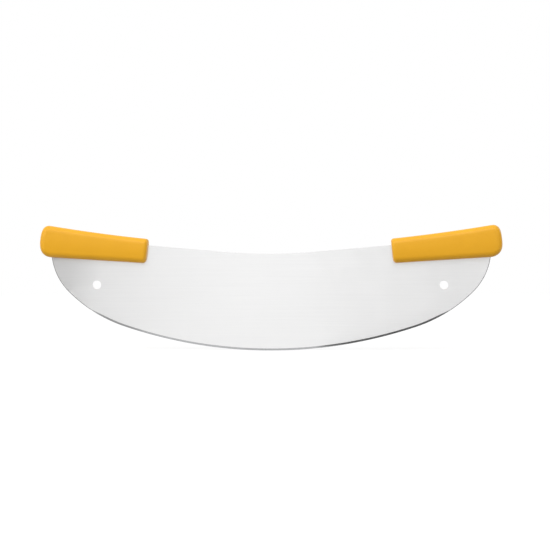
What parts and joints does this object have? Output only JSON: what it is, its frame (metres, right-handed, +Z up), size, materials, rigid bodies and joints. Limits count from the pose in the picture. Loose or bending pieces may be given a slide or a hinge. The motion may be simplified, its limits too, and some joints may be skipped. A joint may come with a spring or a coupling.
{
  "type": "rocking pizza knife",
  "caption": "Long crescent blade with a moulded handle over each upper corner, rocked on its curved edge to cut a whole pizza in one stroke.",
  "frame": {"origin": "lowest point of the cutting edge, in the middle of the blade's thickness", "axes": "+X along the knife towards the right handle, +Y through the blade away from the viewer, +Z up from the edge to the spine"},
  "size_m": [0.5082, 0.0218, 0.1373],
  "materials": {
    "blade_steel": "satin, finely brushed along the blade, with a ground bevel that looks darker than the faces",
    "handle_plastic": "golden yellow, satin from the mould"
  },
  "bodies": {
    "root": {"blade": "blade_steel", "left_handle": "handle_plastic", "right_handle": "handle_plastic"}
  },
  "joints": []
}
